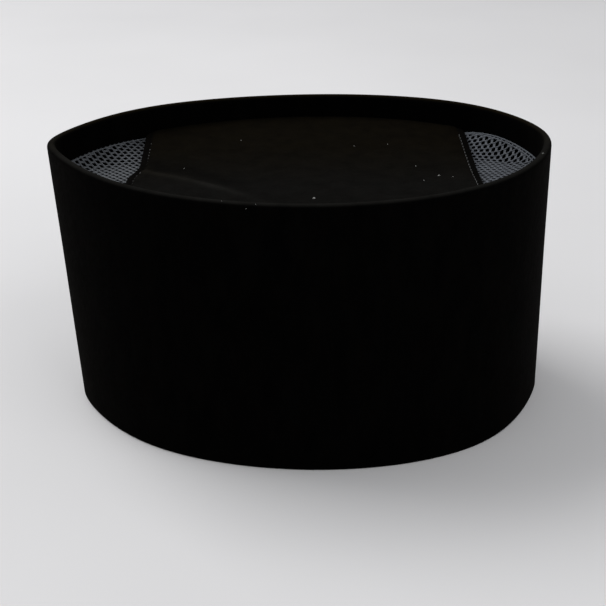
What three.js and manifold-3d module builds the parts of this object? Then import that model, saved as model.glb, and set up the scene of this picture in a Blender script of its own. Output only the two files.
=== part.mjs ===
// A velvet songkok, an oval cap without a brim. Its stiff side band stands a little above the
// crown, which is a velvet panel between two net vents. Millimetres, +Z up. +X runs along the
// head, and the origin is under the middle of the hat, on the surface that it rests on.
import * as THREE from 'three';
import Module from 'manifold-3d';
import { mergeVertices } from 'three/addons/utils/BufferGeometryUtils.js';

// The side band
const rimHeight = 117.2; // at the middle of each long side
const tipRise = 2.3; // the rim stands this much higher at its two ends
const wallThickness = 3.2; // velvet on both faces of a stiff core
const hemRadius = 0.6;

// The ovals of the band's outer face, seen from above. A bulge moves the widest place towards +X,
// and a pinch flattens the flanks next to an end, where the hat has lain folded.
const ovals = {
  rim: { halfLength: 107.8, halfWidth: 76.1, shift: -0.85, bulge: 7, pinchRight: 0.15, pinchLeft: 0.37 },
  base: { halfLength: 105.1, halfWidth: 76.4, shift: 3.65, bulge: 5.9, pinchRight: 0.44, pinchLeft: 0.3 },
};
const pinchPower = 8;

// The crown, whose top has a soft valley along the fold line y = 0
const pieceGap = 0.3;
const crownLevel = 105; // height at which the crown's outline is taken
const foldRadius = 6; // softness of the valley's bottom
const panel = { left: -73, right: 76.5, edgeHeight: 107.2, foldDepth: 3, thickness: 1.6, cornerRadius: 6 };
const seamKink = 2.2; // the left seam steps this far to each side where the fold crosses it
const vent = { edgeHeight: 105, tipRise: 2, foldHeight: 101.6, foldReach: 34, thickness: 1, tuck: 6 };
const ventFoldLine = 20; // the vents sag lowest this far towards +Y
const ventFoldLimit = 0.5; // but no more than this share of the way to the side band
const ventSag = 1.3; // 1 is a straight-sided valley, and more is rounder
const ventTipHalfWidth = 2.5;

// The net of the vents
const netPitch = 4.6;
const netCord = 1.3; // width of the net between two holes
const netMargin = 2.5; // solid border along the panel and the side band
const holeSides = 6;

// Fineness of the facets
const aroundSteps = 96;
const rimSteps = 8;
const hemSteps = 2;
const panelSteps = { along: 24, across: 14 };
const ventSteps = { along: 8, across: 10 };

const velvetMaterial = new THREE.MeshStandardMaterial({ color: '#0b090a', roughness: 0.95, metalness: 0 });
const netMaterial = new THREE.MeshStandardMaterial({ color: '#2e3239', roughness: 0.8, metalness: 0 });

const wasm = await Module();
wasm.setup();

// A point of an oval and how it changes with the angle
function ovalPoint(oval, angle) {
  const c = Math.cos(angle);
  const s = Math.sin(angle);
  const pinch = c > 0 ? oval.pinchRight : oval.pinchLeft;
  const flank = 1 - pinch * c ** pinchPower;
  return {
    x: oval.shift + oval.halfLength * c + oval.bulge * s * s,
    y: oval.halfWidth * s * flank,
    dx: -oval.halfLength * s + 2 * oval.bulge * s * c,
    dy: oval.halfWidth * (c * flank + pinch * pinchPower * s * s * c ** (pinchPower - 1)),
  };
}

function rimHeightAt(angle) {
  const { x } = ovalPoint(ovals.rim, angle);
  return rimHeight + tipRise * (x / ovals.rim.halfLength) ** 2;
}

// A point of the side band, depth millimetres in from its outer face
function bandPoint(angle, depth, height) {
  const up = height / rimHeightAt(angle);
  const low = ovalPoint(ovals.base, angle);
  const high = ovalPoint(ovals.rim, angle);
  const mix = (key) => THREE.MathUtils.lerp(low[key], high[key], up);
  const inward = new THREE.Vector2(-mix('dy'), mix('dx')).normalize();
  return new THREE.Vector3(mix('x') + depth * inward.x, mix('y') + depth * inward.y, height);
}

// Half the width of the crown at a place along it
function crownHalfWidth(x) {
  let nearRight = 0;
  let nearLeft = Math.PI;
  const halvings = 40;
  for (let i = 0; i < halvings; i += 1) {
    const middle = (nearRight + nearLeft) / 2;
    if (crownEdge(middle).x > x) {
      nearRight = middle;
    } else {
      nearLeft = middle;
    }
  }
  return crownEdge(nearRight).y;
}

function crownEdge(angle) {
  return bandPoint(angle, wallThickness + pieceGap, crownLevel);
}

// A closed geometry from a table of points and its faces
function solidFrom(points, faces) {
  const geometry = new THREE.BufferGeometry().setFromPoints(points);
  geometry.setIndex(faces);
  geometry.computeVertexNormals();
  return geometry;
}

// The band's cross-section at one height of the rim: a half-round rim and a hem with small corners
function bandSection(height) {
  const rimRadius = wallThickness / 2;
  const section = [];
  const addArc = (depth, level, radius, from, to, steps) => {
    for (let i = 0; i <= steps; i += 1) {
      const a = THREE.MathUtils.lerp(from, to, i / steps);
      section.push({ depth: depth + radius * Math.cos(a), height: level + radius * Math.sin(a) });
    }
  };
  addArc(hemRadius, hemRadius, hemRadius, -Math.PI, -Math.PI / 2, hemSteps);
  addArc(wallThickness - hemRadius, hemRadius, hemRadius, -Math.PI / 2, 0, hemSteps);
  addArc(rimRadius, height - rimRadius, rimRadius, 0, Math.PI, rimSteps);
  return section;
}

function makeWall() {
  const points = [];
  for (let i = 0; i < aroundSteps; i += 1) {
    const angle = (i / aroundSteps) * 2 * Math.PI;
    for (const { depth, height } of bandSection(rimHeightAt(angle))) {
      points.push(bandPoint(angle, depth, height));
    }
  }
  const sectionSteps = points.length / aroundSteps;
  const faces = [];
  for (let i = 0; i < aroundSteps; i += 1) {
    for (let j = 0; j < sectionSteps; j += 1) {
      const here = i * sectionSteps;
      const next = ((i + 1) % aroundSteps) * sectionSteps;
      const above = (j + 1) % sectionSteps;
      faces.push(here + j, here + above, next + j);
      faces.push(next + j, here + above, next + above);
    }
  }
  return solidFrom(points, faces);
}

// A sheet of one thickness under a top surface; topPoint takes 0 to 1 along and -1 to 1 across
function makeSheet(topPoint, steps, thickness) {
  const points = [];
  for (let i = 0; i <= steps.along; i += 1) {
    for (let j = 0; j <= steps.across; j += 1) {
      const top = topPoint(i / steps.along, (2 * j) / steps.across - 1);
      points.push(top, new THREE.Vector3(top.x, top.y, top.z - thickness));
    }
  }
  const indexOf = (i, j, under) => 2 * (i * (steps.across + 1) + j) + under;
  const faces = [];
  const addQuad = (a, b, c, d) => faces.push(a, b, c, a, c, d);
  for (let i = 0; i < steps.along; i += 1) {
    for (let j = 0; j < steps.across; j += 1) {
      addQuad(indexOf(i, j, 0), indexOf(i + 1, j, 0), indexOf(i + 1, j + 1, 0), indexOf(i, j + 1, 0));
      addQuad(indexOf(i, j, 1), indexOf(i, j + 1, 1), indexOf(i + 1, j + 1, 1), indexOf(i + 1, j, 1));
    }
    const last = steps.across;
    addQuad(indexOf(i, 0, 1), indexOf(i + 1, 0, 1), indexOf(i + 1, 0, 0), indexOf(i, 0, 0));
    addQuad(indexOf(i, last, 0), indexOf(i + 1, last, 0), indexOf(i + 1, last, 1), indexOf(i, last, 1));
  }
  for (let j = 0; j < steps.across; j += 1) {
    const last = steps.along;
    addQuad(indexOf(0, j, 0), indexOf(0, j + 1, 0), indexOf(0, j + 1, 1), indexOf(0, j, 1));
    addQuad(indexOf(last, j, 1), indexOf(last, j + 1, 1), indexOf(last, j + 1, 0), indexOf(last, j, 0));
  }
  return solidFrom(points, faces);
}

// The crown panel, cut across where the vents begin, with small round corners
function panelTop(along, across) {
  const middle = (panel.left + panel.right) / 2;
  const halfLength = (panel.right - panel.left) / 2;
  const evenX = middle - halfLength * Math.cos(Math.PI * along);
  const kink = seamKink * Math.tanh((across * crownHalfWidth(evenX)) / foldRadius);
  const x = evenX + (kink * (panel.right - evenX)) / (2 * halfLength);
  const intoCorner = Math.max(0, panel.cornerRadius - halfLength + Math.abs(evenX - middle));
  const cornerLoss = panel.cornerRadius - Math.sqrt(Math.max(0, panel.cornerRadius ** 2 - intoCorner ** 2));
  const bandSide = crownHalfWidth(x);
  const y = across * (bandSide - cornerLoss);
  const z = panel.edgeHeight - panel.foldDepth * (1 - Math.hypot(y, foldRadius) / bandSide);
  return new THREE.Vector3(x, y, Math.min(z, panel.edgeHeight));
}

// A vent's top surface, given the place across as -1 to 1: it sags between the two sides
function ventHeight(x, across, side) {
  const seam = side > 0 ? panel.right : panel.left;
  const reach = ovals.rim.halfLength - Math.abs(seam);
  const outward = Math.max(0, side * (x - seam) / reach);
  const edge = vent.edgeHeight + vent.tipRise * outward;
  const halfWidth = crownHalfWidth(x);
  const depth = (edge - vent.foldHeight) * Math.min(1, halfWidth / vent.foldReach);
  const lowest = Math.min(ventFoldLine / halfWidth, ventFoldLimit);
  const fromLowest = (across - lowest) / (Math.sign(across - lowest) - lowest);
  return edge - depth * (1 - fromLowest ** ventSag);
}

function ventSheet(side) {
  const seam = side > 0 ? panel.right : panel.left;
  const inner = seam - side * vent.tuck;
  const tipAngle = ventTipHalfWidth / (ovals.rim.halfWidth * (1 - ovals.rim.pinchLeft));
  const tip = crownEdge(side > 0 ? tipAngle : Math.PI - tipAngle).x;
  const topPoint = (along, across) => {
    const ease = Math.sin((along * Math.PI) / 2);
    const x = THREE.MathUtils.lerp(inner, tip, ease);
    const y = side * across * crownHalfWidth(x);
    return new THREE.Vector3(x, y, ventHeight(x, side * across, side));
  };
  return makeSheet(topPoint, ventSteps, vent.thickness);
}

function toManifold(geometry) {
  const bare = geometry.clone();
  bare.deleteAttribute('normal');
  bare.deleteAttribute('uv');
  const merged = mergeVertices(bare);
  const vertProperties = new Float32Array(merged.attributes.position.array);
  const triVerts = new Uint32Array(merged.index.array);
  return new wasm.Manifold(new wasm.Mesh({ numProp: 3, vertProperties, triVerts }));
}

function fromManifold(solid) {
  const mesh = solid.getMesh();
  const geometry = new THREE.BufferGeometry();
  geometry.setAttribute('position', new THREE.BufferAttribute(mesh.vertProperties, mesh.numProp));
  geometry.setIndex(new THREE.BufferAttribute(mesh.triVerts, 1));
  geometry.computeVertexNormals();
  return geometry;
}

// Six-sided holes in staggered rows, wherever one fits inside the vent's solid border
function makeVent(side) {
  const seam = side > 0 ? panel.right : panel.left;
  const holeRadius = (netPitch - netCord) / Math.sqrt(3);
  const holeHeight = 30;
  const rowStep = (netPitch * Math.sqrt(3)) / 2;
  const rowCount = Math.ceil(ovals.rim.halfWidth / rowStep);
  let solid = toManifold(ventSheet(side));
  for (let row = -rowCount; row <= rowCount; row += 1) {
    const y = row * rowStep;
    const stagger = row % 2 === 0 ? 0 : netPitch / 2;
    const nearest = netMargin + holeRadius + stagger;
    for (let outward = nearest; outward < ovals.rim.halfLength; outward += netPitch) {
      const x = seam + side * outward;
      const room = crownHalfWidth(x + side * (holeRadius + netMargin)) - Math.abs(y);
      if (room > holeRadius) {
        const hole = new THREE.CylinderGeometry(holeRadius, holeRadius, holeHeight, holeSides);
        hole.rotateX(Math.PI / 2);
        hole.translate(x, y, crownLevel);
        solid = solid.subtract(toManifold(hole));
      }
    }
  }
  return fromManifold(solid);
}

function namedMesh(name, geometry, material) {
  const mesh = new THREE.Mesh(geometry, material);
  mesh.name = name;
  return mesh;
}

const songkok = new THREE.Group();
songkok.add(
  namedMesh('wall', makeWall(), velvetMaterial),
  namedMesh('crown_panel', makeSheet(panelTop, panelSteps, panel.thickness), velvetMaterial),
  namedMesh('mesh_vent_left', makeVent(-1), netMaterial),
  namedMesh('mesh_vent_right', makeVent(1), netMaterial),
);

export default songkok;
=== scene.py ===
"""A black velvet songkok that rests on a pale floor in soft light.

Lengths are millimetres until a mesh is made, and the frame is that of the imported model: +X along the
head, +Z up, and the origin on the floor under the middle of the hat.
"""
import math
import random
from collections import namedtuple

import bpy
import numpy as np
from mathutils import Matrix, Vector


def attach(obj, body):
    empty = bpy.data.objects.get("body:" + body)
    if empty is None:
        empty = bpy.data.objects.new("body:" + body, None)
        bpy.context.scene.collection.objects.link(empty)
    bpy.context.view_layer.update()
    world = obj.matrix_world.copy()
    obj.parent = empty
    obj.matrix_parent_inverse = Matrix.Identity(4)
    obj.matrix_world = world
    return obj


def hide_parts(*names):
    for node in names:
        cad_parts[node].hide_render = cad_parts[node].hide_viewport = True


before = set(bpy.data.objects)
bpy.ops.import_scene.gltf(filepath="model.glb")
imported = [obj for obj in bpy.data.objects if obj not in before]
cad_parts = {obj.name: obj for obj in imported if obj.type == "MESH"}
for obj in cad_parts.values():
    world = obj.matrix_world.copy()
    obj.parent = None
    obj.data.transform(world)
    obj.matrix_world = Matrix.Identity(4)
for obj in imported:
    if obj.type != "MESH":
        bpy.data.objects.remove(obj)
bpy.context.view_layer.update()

MM = 0.001
TUBE_END_TAPER = 0.55  # a tube's two ends have this share of its radius
random.seed(11)

# The side band
RIM_HEIGHT = 117.2
TIP_RISE = 2.3  # the rim stands this much higher at its two ends
WALL_THICKNESS = 3.2
HEM_RADIUS = 0.9
TURNED_HEM = 12  # the velvet is turned this far up inside
FACING_TOP = 97  # a thinner cloth faces the inside from the turned hem up to here
FACING_INSET = 0.35  # the band is this much thinner there
FACING_EDGE = 1.2  # the step between the velvet and the facing is this long
FACING_TEXTURE_SHIFT = 250  # keeps the inside's texture clear of the outside's
BAND_WAVE = 0.07  # the stiff band is this far from a smooth oval, here and there
RIM_ROLL = 0.25  # the velvet folded over the rim makes it this much fuller
ROLL_REACH_OUTSIDE = 60  # that fades out this far below the rim
ROLL_REACH_INSIDE = 8
RIM_WEAR_AND_HIGHLIGHT_REACH = 0.9  # the pile is worn paler, with a painted highlight, this far down from the rim's top
BAND_FACE_STEPS = 44  # up the band's outer face, and down its inner one
BAND_RIM_STEPS = 12  # over the rim
BAND_HEM_STEPS = 4  # round each of the hem's two edges

# The ovals of the band's outer face, seen from above. The shift moves an oval towards +X, the bulge
# pushes its flanks towards +X, and the pinches narrow it near its two tips.
Oval = namedtuple("Oval", "half_length half_width shift bulge pinch_right pinch_left")
RIM_OVAL = Oval(107.8, 76.1, -0.85, 7, 0.15, 0.37)
BASE_OVAL = Oval(105.1, 76.4, 3.65, 5.9, 0.44, 0.3)
PINCH_POWER = 8

# The crown panel
CROWN_LEVEL = 105
PIECE_GAP = 0.3
PANEL_LEFT = -73
PANEL_RIGHT = 76.5
PANEL_HEIGHT = 107.2
PANEL_FOLD_DEPTH = 3
PANEL_THICKNESS = 1.6
PANEL_EDGE_RADIUS = 0.9
PANEL_CORNER = 6
PANEL_WELD = 0.002  # points closer than this become one
FOLD_RADIUS = 6
SEAM_KINK = 2.2  # the left seam steps this far to each side where the fold crosses it
SEAM_LEAN = 0.02  # the right seam leans outward by this much for each millimetre towards +Y
SEAM_INSET = 3  # from the panel's cut edge to the line of stitches
SEAM_ALLOWANCE = 8.5  # width of the velvet folded under along a seam
SEAM_ALLOWANCE_RISE = 0.22
SEAM_ALLOWANCE_EASE = 1.6  # the rise fades out over this width
SEAM_GROOVE_DEPTH = 0.42
SEAM_GROOVE_WIDTH = 0.65
SEAM_DIMPLE = 0.3  # the groove grows and shrinks by this share of its depth along the stitches

# A crease runs from the left seam across to the near side; start, slope and curve seen from above
CREASE_START = (-72.6, 2.9)
CREASE_SLOPE = -0.45
CREASE_CURVE = -0.0062
CREASE_LENGTH = 62
CREASE_LEAD = 4  # it starts this far before its start point
CREASE_FADE_IN = 10
CREASE_FADE_OUT = 25
CREASE_HEIGHT = 0.6
CREASE_WIDTH = 2.4
CREASE_TIP_SLOPE = 0.06  # the panel tips up on the crease's near side
CREASE_TIP_REACH = 12

# How much paler the velvet is painted, from 0 to 1: painted light on the crown panel, and worn pile
# with a painted highlight along the rim
# Painted light over the whole crown panel, standing in for the top light and sheen it gets
PANEL_PAINTED_LIGHT = 0.24
EDGE_PAINTED_LIGHT = 0.04  # between a seam's stitches and the panel's edge, with less painted light: a painted shade along the edge
# A painted highlight along the crease's ridge
CREASE_PAINTED_HIGHLIGHT = 0.42
FAR_SIDE_PAINTED_SHADE = 0.13  # a painted shade, less than elsewhere, on the crease's far side
PAINTED_SHADE_PLACE = 10  # from the crease to the painted shade's middle
PAINTED_SHADE_WIDTH = 6
# Worn pile and a painted highlight along the rim's top
RIM_WEAR_AND_HIGHLIGHT = 0.6

# The net vents
VENT_HEIGHT = 105
VENT_TIP_RISE = 2
VENT_FOLD_HEIGHT = 101.6
VENT_FOLD_REACH = 34
VENT_FOLD_LINE = 20  # the vents sag lowest this far towards +Y
VENT_FOLD_LIMIT = 0.5  # but no more than this share of the way to the side band
VENT_SAG = 1.3
VENT_TUCK = 5.5

# Each vent's net, 1 for the right one and -1 for the left one: braided ribs at an angle in degrees to
# +X, which bend towards their links by the swing. The spread is half a link's width, the arch is how
# far the net bellies up, and more braids follow the side band at each of the insets from it.
Net = namedtuple("Net", "rib_angle rib_step swing link_step spread arch border_insets")
NETS = {
    1: Net(-15, 2.9, 0.24, 2.7, 0.42, 2.0, (0.05, 0.85)),
    -1: Net(-52, 2.7, 0.1, 3.0, 0.36, 0.4, (0.3,)),
}
NET_LINK_DROP = 0.16  # the links lie this much below the ribs
NET_LINK_STEPS = 6
NET_LINK_WAIST = 0.8  # a link's share of its spread at the middle
NET_LINK_FLARE = 1.2  # and how fast it widens from there
NET_SAMPLE = 0.32  # between two points along a rib
NET_STRAND_RADIUS = 0.2
NET_STRAND_SIDES = 5
NET_BRAID_SWAY = 0.3  # the three strands of a braid cross from side to side this far
NET_BRAID_LIFT = 0.18
NET_BRAID_PERIOD = 2.4
NET_DEPTH = 0.4  # from the net's top to the middle of a braid
NET_SEWN_IN = 0.8  # the net runs this far into the side band's seam

# The seam's stitches
STITCH_PITCH = 3.6
STITCH_LENGTH = 2.4
STITCH_SINK = {1: 0.2, -1: 0.46}  # the left seam's stitches lie deeper in the pile
STITCH_UNEVEN = 0.14  # a stitch lies up to this much higher or lower
STITCH_ARCH = 0.42
STITCH_STEPS = 8
PLY_RADIUS = 0.14
PLY_OFFSET = 0.11  # from the thread's middle to the middle of each of its two plies
PLY_TWIST = 2.4  # half turns in one stitch
PLY_SIDES = 6

# Lint on the crown, its place seen from above
Speck = namedtuple("Speck", "x y length")
CROWN_LINT = [
    Speck(3.9, -37.1, 1.4), Speck(58.7, -8.8, 1.4), Speck(50.1, 4.0, 0.65), Speck(51.5, -14.9, 0.5),
    Speck(64.3, -11.6, 0.4), Speck(40.1, 31.7, 0.35), Speck(24.8, 30.9, 0.35), Speck(-51.2, 4.4, 0.4),
    Speck(-26.8, 39.1, 0.35),
]

# Lint on the rim: the angle round the hat, and the angle up over the rounded top from the outer face
RimSpeck = namedtuple("RimSpeck", "angle over length")
RIM_LINT = [
    RimSpeck(-21.6, 80, 1.8), RimSpeck(-105.6, -10, 0.6), RimSpeck(-103.7, 50, 0.35),
    RimSpeck(-110.7, 60, 0.35),
]
RIM_FIBRE_RADIUS = 0.018  # finer than on the crown

# The fibres of a speck
FIBRE_COUNT = 5
FIBRE_STEPS = 5
FIBRE_SIDES = 5
FIBRE_BEND = 2
FIBRE_LIFT = 0.12
FIBRE_ARCH = 0.25
FIBRE_RADIUS = 0.03  # on the crown
FIBRE_RADIUS_GROWTH = 0.04  # for each millimetre of a crown speck's length

# The camera, at the photograph's angle
CAMERA_AZIMUTH = -1.683
CAMERA_ELEVATION = 25.014
CAMERA_ROLL = -0.256
CAMERA_DISTANCE = 597.1
CAMERA_TARGET = (0.278, 0, 41.362)
CAMERA_LENS = 78.0

# The room, in metres
FLOOR_HALF = 3.0
LIGHTS_AIM = (0, 0, 0.08)


# Shape of the hat

def oval_point(oval, angle):
    """A point of an oval and how it changes with the angle."""
    c = math.cos(angle)
    s = math.sin(angle)
    pinch = oval.pinch_right if c > 0 else oval.pinch_left
    flank = 1 - pinch * c ** PINCH_POWER
    x = oval.shift + oval.half_length * c + oval.bulge * s * s
    y = oval.half_width * s * flank
    dx = -oval.half_length * s + 2 * oval.bulge * s * c
    dy = oval.half_width * (c * flank + pinch * PINCH_POWER * s * s * c ** (PINCH_POWER - 1))
    return np.array((x, y, dx, dy))


def rim_height(angle):
    return RIM_HEIGHT + TIP_RISE * (oval_point(RIM_OVAL, angle)[0] / RIM_OVAL.half_length) ** 2


def band_point(angle, depth, height):
    """A point of the side band, depth millimetres in from its outer face."""
    up = height / rim_height(angle)
    x, y, dx, dy = (1 - up) * oval_point(BASE_OVAL, angle) + up * oval_point(RIM_OVAL, angle)
    length = math.hypot(dx, dy)
    return Vector((x - depth * dy / length, y + depth * dx / length, height))


def crown_outline(count=720):
    """Where the crown meets the band at +Y, as rising x and the half width there."""
    edge = [band_point(math.pi * (1 - i / count), WALL_THICKNESS + PIECE_GAP, CROWN_LEVEL)
            for i in range(count + 1)]
    return [p.x for p in edge], [p.y for p in edge]


OUTLINE_X, OUTLINE_Y = crown_outline()


def crown_half_width(x):
    return float(np.interp(x, OUTLINE_X, OUTLINE_Y, left=0, right=0))


def smooth_step(value):
    value = min(1, max(0, value))
    return value * value * (3 - 2 * value)


def seam_x(side, y):
    """Where the panel's cut edge lies, on the right side (1) or the left one (-1)."""
    if side > 0:
        return PANEL_RIGHT + SEAM_LEAN * y
    return PANEL_LEFT + SEAM_KINK * math.tanh(y / FOLD_RADIUS)


def crease_at(x, y):
    """How far a place lies from the crease towards the near side, and the crease's strength there."""
    along = x - CREASE_START[0]
    crease_y = CREASE_START[1] + CREASE_SLOPE * along + CREASE_CURVE * along * along
    slope = CREASE_SLOPE + 2 * CREASE_CURVE * along
    away = (crease_y - y) / math.hypot(1, slope)
    fade_in = smooth_step((along + CREASE_LEAD) / CREASE_FADE_IN)
    fade_out = smooth_step((CREASE_LENGTH - along) / CREASE_FADE_OUT)
    return away, fade_in * fade_out


def crease_offset(x, y):
    """Height that the crease adds to the panel, which also tips up a little on its near side."""
    away, strength = crease_at(x, y)
    ridge = CREASE_HEIGHT * math.exp(-(away / CREASE_WIDTH) ** 2)
    tip = CREASE_TIP_SLOPE * min(CREASE_TIP_REACH, max(0, away))
    return strength * (ridge + tip)


def panel_painted_light(x, y):
    """Painted light: paler up to the stitches, a painted highlight on the crease, a painted shade
    beyond it.
    """
    away, strength = crease_at(x, y)
    # A painted highlight along the crease
    crease = CREASE_PAINTED_HIGHLIGHT * strength * math.exp(-(away / CREASE_WIDTH) ** 2)
    # Less a painted shade on the crease's far side
    crease -= FAR_SIDE_PAINTED_SHADE * strength * math.exp(-((away + PAINTED_SHADE_PLACE) / PAINTED_SHADE_WIDTH) ** 2)
    inward = min(seam_x(1, y) - x, x - seam_x(-1, y))
    # The painted light starts over one millimetre, with the stitches in its middle
    within_stitches = smooth_step(inward - SEAM_INSET + 0.5)
    return EDGE_PAINTED_LIGHT + (PANEL_PAINTED_LIGHT - EDGE_PAINTED_LIGHT + crease) * within_stitches


def seam_offset(x, y):
    """Height that the two stitched seams add to the panel: a groove, and the velvet folded under."""
    offset = 0
    for side in (1, -1):
        inward = side * (seam_x(side, y) - x)
        dimple = 1 - SEAM_DIMPLE + SEAM_DIMPLE * math.cos(2 * math.pi * y / STITCH_PITCH)
        groove = math.exp(-((inward - SEAM_INSET) / SEAM_GROOVE_WIDTH) ** 2)
        offset -= SEAM_GROOVE_DEPTH * dimple * groove
        offset += SEAM_ALLOWANCE_RISE * smooth_step((SEAM_ALLOWANCE - inward) / SEAM_ALLOWANCE_EASE)
    return offset


def panel_height(x, y):
    """The crown panel's top, which has a soft valley where the hat folds."""
    half_width = max(crown_half_width(x), 1)
    valley = PANEL_FOLD_DEPTH * (1 - math.hypot(y, FOLD_RADIUS) / half_width)
    across = min(1, abs(y) / half_width)
    # Slight waves of unequal heights and lengths, so that they don't line up
    ripple = 0.16 * math.sin(x / 9.5 + y / 21 + 1.1) + 0.12 * math.sin(x / 17 - y / 8.2)
    ripple += 0.07 * math.sin(x / 4.6 + 0.6 * math.sin(y / 11))
    inner = 1 - across ** 6
    return PANEL_HEIGHT - max(0, valley) + inner * (ripple + crease_offset(x, y)) + seam_offset(x, y)


def vent_height(side, x, y):
    """The top of a vent, which sags towards the fold."""
    seam = PANEL_RIGHT if side > 0 else PANEL_LEFT
    tip = OUTLINE_X[-1] if side > 0 else OUTLINE_X[0]
    outward = max(0, (x - seam) / (tip - seam))
    edge = VENT_HEIGHT + VENT_TIP_RISE * outward + NETS[side].arch * math.sin(math.pi * min(1, outward))
    half_width = max(crown_half_width(x), 1)
    depth = (edge - VENT_FOLD_HEIGHT) * min(1, half_width / VENT_FOLD_REACH)
    across = max(-1, min(1, y / half_width))
    lowest = min(VENT_FOLD_LINE / half_width, VENT_FOLD_LIMIT)
    from_lowest = (across - lowest) / (math.copysign(1, across - lowest) - lowest)
    return edge - depth * (1 - from_lowest ** VENT_SAG)


# Meshes

class Builder:
    """Points in millimetres with their texture places and paleness (painted light, and worn pile on the
    rim), and faces with their finish.
    """

    def __init__(self):
        self.points = []
        self.places = []
        self.paleness = []
        self.faces = []
        self.finishes = []

    def add_point(self, point, place=(0, 0), paleness=0):
        self.points.append(tuple(point))
        self.places.append(place)
        self.paleness.append(paleness)
        return len(self.points) - 1

    def add_face(self, corners, finish=0):
        self.faces.append(corners)
        self.finishes.append(finish)

    def make(self, name, materials):
        mesh = bpy.data.meshes.new(name)
        mesh.from_pydata([Vector(p) * MM for p in self.points], [], self.faces)
        mesh.polygons.foreach_set("material_index", self.finishes)
        mesh.polygons.foreach_set("use_smooth", [True] * len(self.faces))
        texture = mesh.uv_layers.new(name="UVMap")
        for loop, uv in zip(mesh.loops, texture.data):
            uv.uv = Vector(self.places[loop.vertex_index]) * MM
        mesh.attributes.new("paleness", "FLOAT", "POINT").data.foreach_set("value", self.paleness)
        for material in materials:
            mesh.materials.append(material)
        mesh.update()
        piece = bpy.data.objects.new(name, mesh)
        bpy.context.scene.collection.objects.link(piece)
        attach(piece, "root")
        return piece


def add_tube(builder, path, radius, sides):
    """A closed tube along a list of points, with tapered ends."""
    count = len(path)
    rings = []
    for i, point in enumerate(path):
        ahead = (path[min(i + 1, count - 1)] - path[max(i - 1, 0)]).normalized()
        across = ahead.cross(Vector((0, 0, 1))).normalized()
        up = across.cross(ahead)
        taper = TUBE_END_TAPER if i in (0, count - 1) else 1
        ring = []
        for k in range(sides):
            a = 2 * math.pi * k / sides
            spot = point + radius * taper * (math.cos(a) * across + math.sin(a) * up)
            ring.append(builder.add_point(spot, (i, k)))
        rings.append(ring)
    for a, b in zip(rings, rings[1:]):
        for k in range(sides):
            n = (k + 1) % sides
            builder.add_face((a[k], a[n], b[n], b[k]))
    builder.add_face(tuple(reversed(rings[0])))
    builder.add_face(tuple(rings[-1]))


# Materials

def add_node(tree, kind, inputs=None, **settings):
    """A node with its settings, each input given as a value or as another node's output."""
    node = tree.nodes.new(kind)
    for name, value in settings.items():
        setattr(node, name, value)
    for name, value in (inputs or {}).items():
        socket = node.inputs[name]
        if isinstance(value, bpy.types.NodeSocket):
            tree.links.new(value, socket)
        else:
            socket.default_value = value
    return node


def add_noise(tree, place, scale, detail, stretch=(1, 1, 1)):
    """Noise from 0 to 1 over the surface; stretch below 1 draws it out along that axis."""
    mapped = add_node(tree, "ShaderNodeMapping", {"Vector": place, "Scale": stretch})
    noise = add_node(tree, "ShaderNodeTexNoise",
                     {"Vector": mapped.outputs["Vector"], "Scale": scale, "Detail": detail})
    return noise.outputs["Fac"]


def add_range(tree, value, low, high, from_low=0.3, from_high=0.7):
    made = add_node(tree, "ShaderNodeMapRange", {"Value": value, "From Min": from_low,
                    "From Max": from_high, "To Min": low, "To Max": high})
    return made.outputs["Result"]


def add_mix(tree, factor, first, second):
    mixed = add_node(tree, "ShaderNodeMix", data_type="RGBA")
    tree.links.new(factor, mixed.inputs["Factor"])
    for name, value in (("A", first), ("B", second)):
        socket = next(s for s in mixed.inputs if s.name == name and s.type == "RGBA")
        if isinstance(value, bpy.types.NodeSocket):
            tree.links.new(value, socket)
        else:
            socket.default_value = (*value, 1)
    return next(s for s in mixed.outputs if s.type == "RGBA")


def new_material(name):
    material = bpy.data.materials.new(name)
    material.use_nodes = True
    tree = material.node_tree
    return material, tree, tree.nodes["Principled BSDF"]


def add_bump(tree, shader, layers):
    """Bumps stacked on each other; each layer is a height from 0 to 1, a strength and a depth."""
    normal = None
    for height, strength, depth in layers:
        inputs = {"Height": height, "Strength": strength, "Distance": depth * MM}
        bump = add_node(tree, "ShaderNodeBump", inputs)
        if normal:
            tree.links.new(normal, bump.inputs["Normal"])
        normal = bump.outputs["Normal"]
    tree.links.new(normal, shader.inputs["Normal"])


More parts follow.
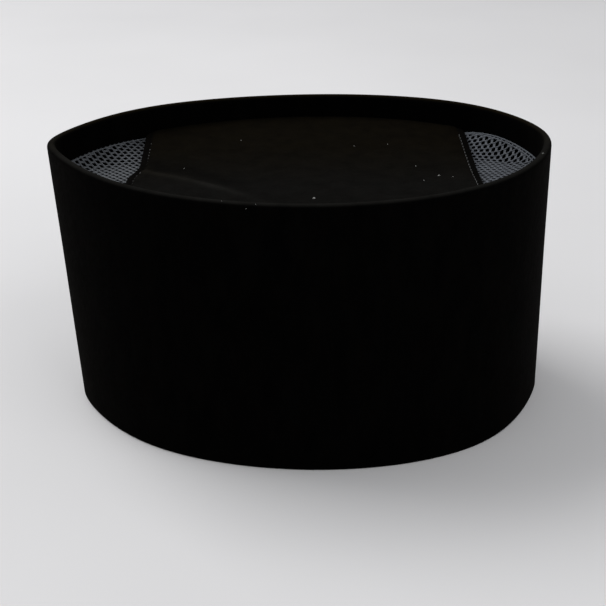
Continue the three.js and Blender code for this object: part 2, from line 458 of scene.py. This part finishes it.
def velvet_material():
    """Short dense black pile with hardly any light or sheen, painted paler for painted light and worn
    pile.
    """
    material, tree, shader = new_material("black_velvet")
    place = add_node(tree, "ShaderNodeTexCoord").outputs["Object"]
    pile = add_noise(tree, place, 1500, 2)
    tufts = add_noise(tree, place, 420, 3)
    brushed = add_noise(tree, place, 130, 4, (1, 1, 0.35))
    patches = add_noise(tree, place, 26, 3)
    streaks = add_range(tree, brushed, 0, 1)
    black = add_mix(tree, streaks, (0.0004, 0.0004, 0.0004), (0.001, 0.0009, 0.0008))
    # Greyer and brighter towards -Y, a painted sheen of the slanted near side; browner towards +Y
    across = add_node(tree, "ShaderNodeSeparateXYZ", {"Vector": place}).outputs["Y"]
    browner = add_range(tree, across, 0, 1, -0.02, 0.03)
    lit_and_worn = add_mix(tree, browner, (0.0100, 0.0098, 0.0088), (0.0080, 0.0058, 0.0022))
    # The paleness attribute holds painted light on the panel, and worn pile with a painted highlight on
    # the rim
    painted_light_and_wear = add_node(tree, "ShaderNodeAttribute", attribute_name="paleness").outputs["Fac"]
    uneven = add_range(tree, brushed, 0.8, 1.2)
    paleness = add_node(tree, "ShaderNodeMath", {0: painted_light_and_wear, 1: uneven}, operation="MULTIPLY")
    shade = add_mix(tree, paleness.outputs["Value"], black, lit_and_worn)
    tree.links.new(shade, shader.inputs["Base Color"])
    tree.links.new(add_range(tree, tufts, 0.82, 1), shader.inputs["Roughness"])
    shader.inputs["Specular IOR Level"].default_value = 0.008
    shader.inputs["Sheen Weight"].default_value = 0.004
    shader.inputs["Sheen Roughness"].default_value = 0.45
    shader.inputs["Sheen Tint"].default_value = (1, 0.85, 0.72, 1)
    add_bump(tree, shader, [(patches, 0.25, 1.2), (tufts, 0.5, 0.35), (pile, 0.7, 0.18)])
    return material


def facing_material():
    """The plain black cloth inside, a coarse weave with about 5 threads in a centimetre."""
    material, tree, shader = new_material("black_facing_cloth")
    place = add_node(tree, "ShaderNodeUVMap", uv_map="UVMap").outputs["UV"]
    waves = []
    for direction in ("X", "Y"):
        wave = add_node(tree, "ShaderNodeTexWave", {"Vector": place, "Scale": 160, "Distortion": 0.6,
                        "Detail": 1, "Detail Scale": 3}, bands_direction=direction)
        waves.append(wave.outputs["Fac"])
    weave = add_node(tree, "ShaderNodeMath", {0: waves[0], 1: waves[1]}, operation="MULTIPLY")
    paleness = add_noise(tree, place, 60, 4)
    shade = add_mix(tree, weave.outputs["Value"], (0.004, 0.004, 0.0045), (0.011, 0.0105, 0.011))
    shade = add_mix(tree, add_range(tree, paleness, 0, 0.4), shade, (0.014, 0.013, 0.013))
    tree.links.new(shade, shader.inputs["Base Color"])
    tree.links.new(add_range(tree, paleness, 0.7, 0.9), shader.inputs["Roughness"])
    shader.inputs["Specular IOR Level"].default_value = 0.2
    add_bump(tree, shader, [(weave.outputs["Value"], 0.6, 0.12)])
    return material


def net_material():
    """Blue-grey knitting yarn, a little shiny, with fine filaments, and a painted light and shade:
    paler on the right.
    """
    material, tree, shader = new_material("blue_grey_net")
    place = add_node(tree, "ShaderNodeTexCoord").outputs["Object"]
    filaments = add_noise(tree, place, 2600, 2)
    patches = add_noise(tree, place, 70, 3)
    along = add_node(tree, "ShaderNodeSeparateXYZ", {"Vector": place}).outputs["X"]
    # Painted light and shade: the yarn is paler towards +X and darker towards -X
    lit_towards_right = add_range(tree, along, 0, 1, -0.09, 0.09)
    shaded_yarn = add_mix(tree, add_range(tree, patches, 0, 1), (0.032, 0.035, 0.04), (0.055, 0.06, 0.066))
    lit_yarn = add_mix(tree, add_range(tree, patches, 0, 1), (0.048, 0.054, 0.066), (0.082, 0.091, 0.108))
    shade = add_mix(tree, lit_towards_right, shaded_yarn, lit_yarn)
    shade = add_mix(tree, add_range(tree, filaments, 0, 0.6), shade, (0.12, 0.13, 0.145))
    tree.links.new(shade, shader.inputs["Base Color"])
    tree.links.new(add_range(tree, filaments, 0.45, 0.7), shader.inputs["Roughness"])
    shader.inputs["Specular IOR Level"].default_value = 0.4
    add_bump(tree, shader, [(filaments, 0.5, 0.08)])
    return material


def thread_material():
    """Black polyester thread that catches the light, with painted highlights along it."""
    material, tree, shader = new_material("black_thread")
    place = add_node(tree, "ShaderNodeTexCoord").outputs["Object"]
    filaments = add_noise(tree, place, 2400, 2)
    painted_glint = add_range(tree, filaments, 0, 1)
    # The colour is paler at random spots along the thread: painted highlights
    shade = add_mix(tree, painted_glint, (0.007, 0.007, 0.007), (0.018, 0.018, 0.017))
    tree.links.new(shade, shader.inputs["Base Color"])
    tree.links.new(add_range(tree, filaments, 0.35, 0.6), shader.inputs["Roughness"])
    add_bump(tree, shader, [(filaments, 0.4, 0.06)])
    return material


def lint_material():
    """Pale cotton lint."""
    material, tree, shader = new_material("pale_lint")
    place = add_node(tree, "ShaderNodeTexCoord").outputs["Object"]
    wisps = add_noise(tree, place, 1800, 2)
    shade = add_mix(tree, add_range(tree, wisps, 0, 1), (0.28, 0.28, 0.27), (0.5, 0.5, 0.48))
    tree.links.new(shade, shader.inputs["Base Color"])
    tree.links.new(add_range(tree, wisps, 0.7, 1), shader.inputs["Roughness"])
    add_bump(tree, shader, [(wisps, 0.5, 0.05)])
    return material


def floor_material():
    """A pale matt floor with a barely visible grain."""
    material, tree, shader = new_material("pale_floor")
    place = add_node(tree, "ShaderNodeTexCoord").outputs["Object"]
    grain = add_noise(tree, place, 900, 3)
    clouds = add_noise(tree, place, 3, 3)
    shade = add_mix(tree, add_range(tree, clouds, 0, 1), (0.61, 0.605, 0.61), (0.65, 0.645, 0.65))
    tree.links.new(shade, shader.inputs["Base Color"])
    shader.inputs["Roughness"].default_value = 0.9
    shader.inputs["Specular IOR Level"].default_value = 0.1
    add_bump(tree, shader, [(grain, 0.15, 0.1)])
    return material


# The side band

def band_section(height):
    """Depth from the outer face and height, once round the band's cross-section from the outer hem."""
    rim_radius = WALL_THICKNESS / 2
    section = []

    def add_arc(depth, level, radius, start, end, steps):
        for i in range(steps + 1):
            a = start + (end - start) * i / steps
            section.append((depth + radius * math.cos(a), level + radius * math.sin(a)))

    def add_straight(depth, start, end):
        for i in range(1, BAND_FACE_STEPS):
            section.append((depth, start + (end - start) * i / BAND_FACE_STEPS))

    half_turn = math.pi
    add_arc(HEM_RADIUS, HEM_RADIUS, HEM_RADIUS, -half_turn / 2, -half_turn, BAND_HEM_STEPS)
    add_straight(0, HEM_RADIUS, height - rim_radius)
    add_arc(rim_radius, height - rim_radius, rim_radius, half_turn, 0, BAND_RIM_STEPS)
    add_straight(WALL_THICKNESS, height - rim_radius, HEM_RADIUS)
    add_arc(WALL_THICKNESS - HEM_RADIUS, HEM_RADIUS, HEM_RADIUS, 0, -half_turn / 2, BAND_HEM_STEPS)
    return section


def band_wave(angle, height):
    """How far the band leans in or out of its smooth oval at a place, in step on both faces.

    There are 5, 9 and 17 waves round the hat, which turn with the height.
    """
    up = height / RIM_HEIGHT
    wave = math.sin(5 * angle + 2.1 * up) + 0.6 * math.sin(9 * angle - 3.2 * up + 1)
    wave += 0.35 * math.sin(17 * angle + 5 * up)
    return BAND_WAVE * wave * (0.4 + 0.6 * math.sin(math.pi * min(1, up)))


def on_inner_face(depth):
    return depth > WALL_THICKNESS - 0.01


def facing_inset(height):
    """The facing cloth is thinner than the velvet above and below it."""
    above_hem = smooth_step((height - TURNED_HEM) / FACING_EDGE)
    below_top = smooth_step((FACING_TOP - height) / FACING_EDGE)
    return FACING_INSET * above_hem * below_top


def rim_roll(depth, height, rim):
    """How the folded velvet swells the band near its rim, as changes of depth and height."""
    middle = WALL_THICKNESS / 2
    reach = ROLL_REACH_OUTSIDE if depth < middle else ROLL_REACH_INSIDE
    roll = RIM_ROLL * smooth_step(1 - (rim - height) / reach)
    return roll * (depth - middle) / middle, roll * max(0, height - rim + middle) / middle


def make_side_band(velvet, facing):
    around = 400
    builder = Builder()
    rings = []
    girth = math.pi * (RIM_OVAL.half_length + RIM_OVAL.half_width)
    for i in range(around):
        angle = 2 * math.pi * i / around
        rim = rim_height(angle)
        ring = []
        for depth, height in band_section(rim):
            inside = on_inner_face(depth)
            inset = facing_inset(height) if inside else 0
            deeper, higher = rim_roll(depth, height, rim)
            point = band_point(angle, depth + deeper - inset + band_wave(angle, height), height)
            point.z += higher
            # Paler along the rim's top: worn pile and a painted highlight
            paleness = RIM_WEAR_AND_HIGHLIGHT * smooth_step(1 - (rim - height) / RIM_WEAR_AND_HIGHLIGHT_REACH)
            texture_place = (girth * i / around, height + FACING_TEXTURE_SHIFT * inside)
            ring.append(builder.add_point(point, texture_place, paleness))
        rings.append(ring)
    section = band_section(RIM_HEIGHT)
    for i in range(around):
        a = rings[i]
        b = rings[(i + 1) % around]
        for k, (depth, height) in enumerate(section):
            n = (k + 1) % len(section)
            faced = on_inner_face(depth) and TURNED_HEM < height < FACING_TOP
            builder.add_face((a[k], b[k], b[n], a[n]), int(faced))
    piece = builder.make("side_band", [velvet, facing])
    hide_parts("wall")


# The crown panel

def make_crown_panel(velvet, facing):
    along_steps = 170
    across_steps = 130
    middle = (PANEL_LEFT + PANEL_RIGHT) / 2
    half_length = (PANEL_RIGHT - PANEL_LEFT) / 2
    builder = Builder()
    top = []
    bottom = []
    for i in range(along_steps + 1):
        fraction = (1 - math.cos(math.pi * i / along_steps)) / 2
        even_x = PANEL_LEFT + fraction * (PANEL_RIGHT - PANEL_LEFT)
        into_corner = max(0, PANEL_CORNER - half_length + abs(even_x - middle))
        corner_loss = PANEL_CORNER - math.sqrt(max(0, PANEL_CORNER ** 2 - into_corner ** 2))
        for j in range(across_steps + 1):
            across = math.sin(math.pi * (j / across_steps - 0.5))
            y_guess = across * crown_half_width(even_x)
            x = seam_x(-1, y_guess) + fraction * (seam_x(1, y_guess) - seam_x(-1, y_guess))
            side_y = crown_half_width(x) - corner_loss
            y = across * side_y
            to_edge = min(fraction, 1 - fraction) * 2 * half_length
            to_side = (1 - abs(across)) * side_y
            into_edge = 1 - min(1, min(to_edge, to_side) / PANEL_EDGE_RADIUS)
            half_thickness = PANEL_THICKNESS / 2 * math.sqrt(max(0, 1 - into_edge ** 2))
            height = panel_height(x, y) - PANEL_THICKNESS / 2
            top.append(builder.add_point((x, y, height + half_thickness), (x, y), panel_painted_light(x, y)))
            bottom.append(builder.add_point((x, y, height - half_thickness), (x, y)))
    row = across_steps + 1
    for i in range(along_steps):
        for j in range(across_steps):
            a = i * row + j
            b = a + row
            builder.add_face((top[a], top[b], top[b + 1], top[a + 1]))
            builder.add_face((bottom[a], bottom[a + 1], bottom[b + 1], bottom[b]), 1)
    piece = builder.make("crown_panel_velvet", [velvet, facing])
    weld = piece.modifiers.new("weld", "WELD")
    weld.merge_threshold = PANEL_WELD * MM
    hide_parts("crown_panel")


# The net vents

def in_vent(side, x, y):
    """Whether a place seen from above lies in the vent, with what is tucked or sewn in."""
    under_panel = side * (x - seam_x(side, y)) < -VENT_TUCK
    half_width = crown_half_width(x - side * NET_SEWN_IN)
    return not under_panel and half_width > 0 and abs(y) < half_width + NET_SEWN_IN


def vent_border(side, inset):
    """A path round the vent's outer edge, from one end of the panel's seam to the other."""
    count = 640
    path = []
    for i in range(count + 1):
        half_turn = math.pi * (i / count - 0.5)
        angle = half_turn if side > 0 else math.pi - half_turn
        point = band_point(angle, WALL_THICKNESS + PIECE_GAP + inset, CROWN_LEVEL)
        if in_vent(side, point.x, point.y):
            point.z = vent_height(side, point.x, point.y) - NET_DEPTH
            path.append(point)
    return path


def add_braid(builder, path):
    """A flat braid of three strands along a path."""
    strands = 3
    for strand in range(strands):
        route = []
        travelled = 0
        for i, point in enumerate(path):
            before = path[max(i - 1, 0)]
            travelled += (point - before).length
            ahead = (path[min(i + 1, len(path) - 1)] - before).normalized()
            across = ahead.cross(Vector((0, 0, 1))).normalized()
            up = across.cross(ahead)
            a = 2 * math.pi * (travelled / NET_BRAID_PERIOD + strand / strands)
            sway = NET_BRAID_SWAY * math.sin(a)
            lift = NET_BRAID_LIFT * math.sin(2 * a)
            route.append(point + sway * across + lift * up)
        add_tube(builder, route, NET_STRAND_RADIUS, NET_STRAND_SIDES)


def unbroken(path, shortest):
    """The stretches of a path between its gaps, apart from those with fewer points than shortest."""
    stretches = [[]]
    for point in path:
        if point is None:
            stretches.append([])
        else:
            stretches[-1].append(point)
    return [stretch for stretch in stretches if len(stretch) >= shortest]


def net_point(side, travelled, offset):
    """A point of the net, along its ribs and across them, or None outside the vent."""
    turn = math.radians(NETS[side].rib_angle)
    seam = PANEL_RIGHT if side > 0 else PANEL_LEFT
    x = seam + travelled * math.cos(turn) - offset * math.sin(turn)
    y = travelled * math.sin(turn) + offset * math.cos(turn)
    if in_vent(side, x, y):
        return Vector((x, y, vent_height(side, x, y) - NET_DEPTH))
    return None


def add_rib(builder, side, rib, stagger, reach):
    net = NETS[side]
    path = []
    for step in range(int(2 * reach / NET_SAMPLE) + 1):
        travelled = step * NET_SAMPLE - reach
        swing = net.swing * math.cos(2 * math.pi * (travelled / net.link_step - stagger))
        path.append(net_point(side, travelled, rib * net.rib_step + swing))
    for stretch in unbroken(path, shortest=7):
        add_braid(builder, stretch)


def add_link(builder, side, rib, middle):
    """Three strands from one rib to the next, which spread apart at both ends."""
    net = NETS[side]
    drop = Vector((0, 0, NET_LINK_DROP))
    for strand in (-1, 0, 1):
        path = []
        for step in range(NET_LINK_STEPS + 1):
            up = step / NET_LINK_STEPS - 0.5
            spread = net.spread * (NET_LINK_WAIST + NET_LINK_FLARE * up * up)
            path.append(net_point(side, middle + strand * spread, (rib + 0.5 + up) * net.rib_step))
        for stretch in unbroken(path, shortest=3):
            add_tube(builder, [point - drop for point in stretch], NET_STRAND_RADIUS, NET_STRAND_SIDES)


def make_net(side, name, node, material):
    """Braided ribs side by side, with links that leave holes staggered from one gap to the next."""
    net = NETS[side]
    reach = RIM_OVAL.half_width
    last_rib = int(reach / net.rib_step)
    last_link = int(reach / net.link_step)
    builder = Builder()
    for rib in range(-last_rib, last_rib + 1):
        stagger = 0.5 * (rib % 2)
        add_rib(builder, side, rib, stagger, reach)
        for link in range(-last_link, last_link + 1):
            add_link(builder, side, rib, (link + stagger) * net.link_step)
    for inset in net.border_insets:
        add_braid(builder, vent_border(side, inset))
    piece = builder.make(name, [material])
    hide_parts(node)


# The stitches and the lint

def make_stitches(side, name, material):
    builder = Builder()
    half_width = crown_half_width(seam_x(side, 0)) - PANEL_CORNER
    count = int(2 * half_width / STITCH_PITCH)
    for i in range(count):
        middle = (i - (count - 1) / 2) * STITCH_PITCH
        sink = STITCH_SINK[side] + random.uniform(-STITCH_UNEVEN, STITCH_UNEVEN)
        for ply in (0, 1):
            path = []
            for j in range(STITCH_STEPS + 1):
                along = j / STITCH_STEPS
                y = middle + STITCH_LENGTH * (along - 0.5)
                x = seam_x(side, y) - side * SEAM_INSET
                rise = STITCH_ARCH * math.sin(math.pi * along) - sink
                a = math.pi * (PLY_TWIST * along + ply)
                offset = PLY_OFFSET * Vector((math.cos(a), 0, math.sin(a)))
                path.append(Vector((x, y, panel_height(x, y) + rise)) + offset)
            add_tube(builder, path, PLY_RADIUS, PLY_SIDES)
    builder.make(name, [material])


def add_speck(builder, place, length, radius, height_at):
    """A few short curled fibres round a place, on a surface whose height is given."""
    for _ in range(FIBRE_COUNT):
        heading = random.uniform(0, 2 * math.pi)
        bend = random.uniform(-FIBRE_BEND, FIBRE_BEND)
        size = length * random.uniform(0.6, 1)
        path = []
        for j in range(FIBRE_STEPS + 1):
            along = j / FIBRE_STEPS
            a = heading + bend * along
            spot = place + size * (along - 0.5) * Vector((math.cos(a), math.sin(a), 0))
            spot.z = height_at(spot.x, spot.y) + FIBRE_LIFT + FIBRE_ARCH * math.sin(math.pi * along)
            path.append(spot)
        add_tube(builder, path, radius, FIBRE_SIDES)


def make_lint(material):
    builder = Builder()
    for speck in CROWN_LINT:
        radius = FIBRE_RADIUS + FIBRE_RADIUS_GROWTH * speck.length
        add_speck(builder, Vector((speck.x, speck.y, 0)), speck.length, radius, panel_height)
    middle = WALL_THICKNESS / 2
    reach = middle + RIM_ROLL
    for speck in RIM_LINT:
        angle = math.radians(speck.angle)
        over = math.radians(speck.over)
        height = rim_height(angle) - middle + reach * math.sin(over)
        place = band_point(angle, middle - reach * math.cos(over), height)
        add_speck(builder, place, speck.length, RIM_FIBRE_RADIUS, lambda x, y: height)
    builder.make("lint", [material])


# The floor, the lights and the camera

def make_stage():
    corners = [(FLOOR_HALF * x, FLOOR_HALF * y, 0) for x, y in ((-1, -1), (1, -1), (1, 1), (-1, 1))]
    mesh = bpy.data.meshes.new("floor")
    mesh.from_pydata(corners, [], [(0, 1, 2, 3)])
    floor = bpy.data.objects.new("floor", mesh)
    mesh.materials.append(floor_material())
    bpy.context.scene.collection.objects.link(floor)


def add_softbox(name, place, size, power):
    """A square soft light aimed at the hat, in metres and watts."""
    light = bpy.data.lights.new(name, "AREA")
    light.size = size
    light.energy = power
    lamp = bpy.data.objects.new(name, light)
    lamp.location = place
    to_hat = Vector(LIGHTS_AIM) - Vector(place)
    lamp.rotation_euler = to_hat.to_track_quat("-Z", "Y").to_euler()
    bpy.context.scene.collection.objects.link(lamp)


def make_lights():
    add_softbox("key", (-0.7, 0.5, 1.3), 0.9, 16)
    add_softbox("fill", (0.9, -0.9, 1.1), 1.2, 7)
    world = bpy.data.worlds.new("room")
    world.use_nodes = True
    background = world.node_tree.nodes["Background"]
    background.inputs["Color"].default_value = (0.97, 0.98, 1, 1)
    background.inputs["Strength"].default_value = 0.55
    bpy.context.scene.world = world
    bpy.context.scene.view_settings.view_transform = "Standard"


def make_camera():
    azimuth = math.radians(CAMERA_AZIMUTH)
    elevation = math.radians(CAMERA_ELEVATION)
    level = math.cos(elevation)
    back = Vector((math.sin(azimuth) * level, -math.cos(azimuth) * level, math.sin(elevation)))
    lens = bpy.data.cameras.new("camera")
    lens.lens = CAMERA_LENS
    camera = bpy.data.objects.new("camera", lens)
    upright = back.to_track_quat("Z", "Y").to_matrix().to_4x4()
    turn = upright @ Matrix.Rotation(math.radians(CAMERA_ROLL), 4, "Z")
    place = (Vector(CAMERA_TARGET) + CAMERA_DISTANCE * back) * MM
    camera.matrix_world = Matrix.Translation(place) @ turn
    bpy.context.scene.collection.objects.link(camera)
    bpy.context.scene.camera = camera


velvet_finish = velvet_material()
facing_finish = facing_material()
net_finish = net_material()
thread_finish = thread_material()

make_side_band(velvet_finish, facing_finish)
make_crown_panel(velvet_finish, facing_finish)
make_net(1, "net_right", "mesh_vent_right", net_finish)
make_net(-1, "net_left", "mesh_vent_left", net_finish)
make_stitches(1, "seam_stitches_right", thread_finish)
make_stitches(-1, "seam_stitches_left", thread_finish)
make_lint(lint_material())
make_stage()
make_lights()
make_camera()

bpy.context.view_layer.update()
